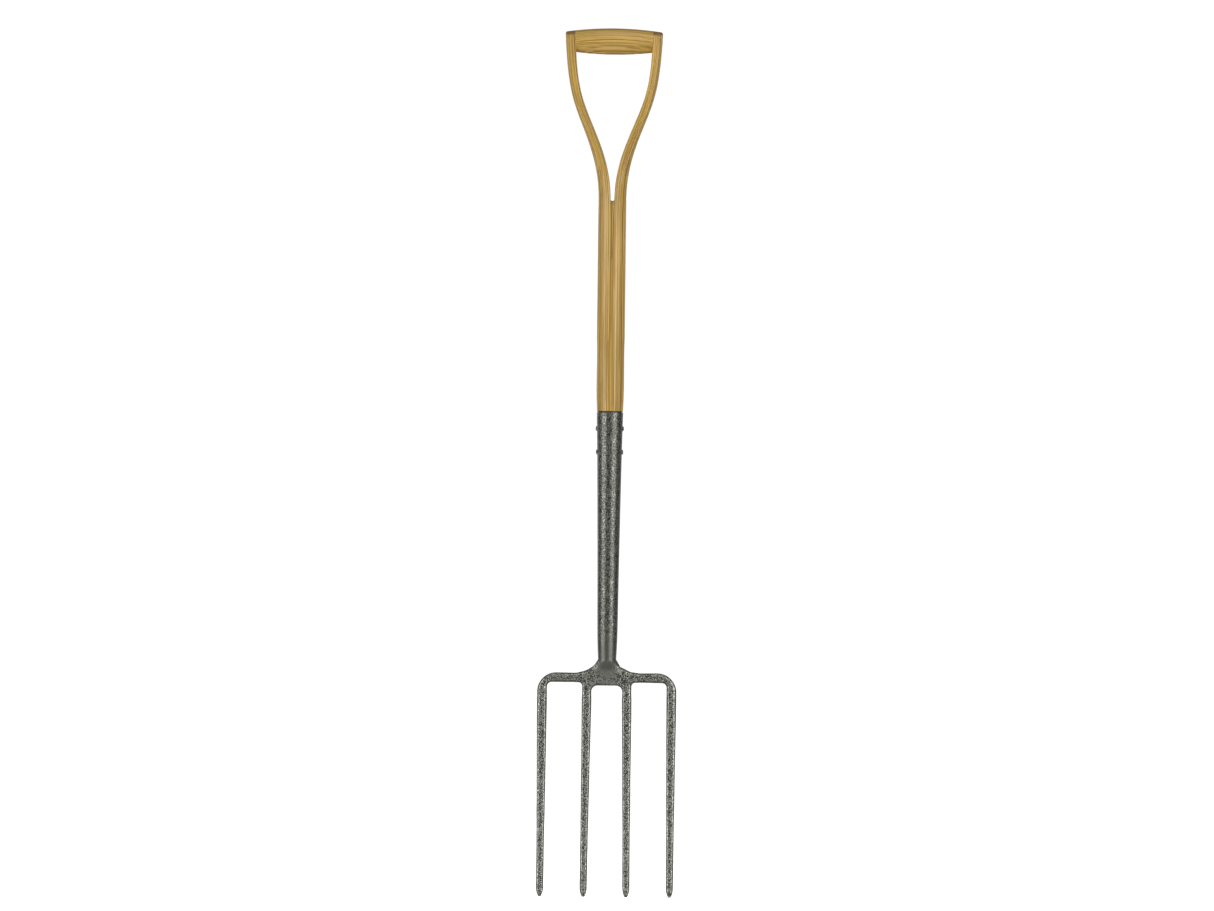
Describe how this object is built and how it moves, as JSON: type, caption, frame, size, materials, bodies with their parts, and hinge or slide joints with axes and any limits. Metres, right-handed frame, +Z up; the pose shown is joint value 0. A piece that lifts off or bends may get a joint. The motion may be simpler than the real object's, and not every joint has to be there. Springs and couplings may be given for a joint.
{
  "type": "digging fork",
  "caption": "Digging fork with a square-tined steel head, a riveted tubular socket and an ash shaft split into a Y that holds a barrel grip.",
  "frame": {"origin": "on the shaft's axis, at the level of the tine points", "axes": "+Z up the shaft to the grip, +X to the right along the grip, -Y the front, the way the tines curve"},
  "size_m": [0.1798, 0.0716, 1.1204],
  "materials": {
    "ash_wood": "varnished",
    "hammered_paint": "hammered",
    "bare_steel": "satin"
  },
  "bodies": {
    "root": {"shaft": "ash_wood", "throat_wedge": "ash_wood", "grip": "ash_wood", "grip_rivet": "bare_steel", "left_grip_washer": "bare_steel", "right_grip_washer": "bare_steel", "socket": "hammered_paint", "upper_socket_rivet": "hammered_paint", "lower_socket_rivet": "hammered_paint", "crosshead": "hammered_paint", "left_outer_tine": "hammered_paint", "left_inner_tine": "hammered_paint", "right_inner_tine": "hammered_paint", "right_outer_tine": "hammered_paint"}
  },
  "joints": []
}
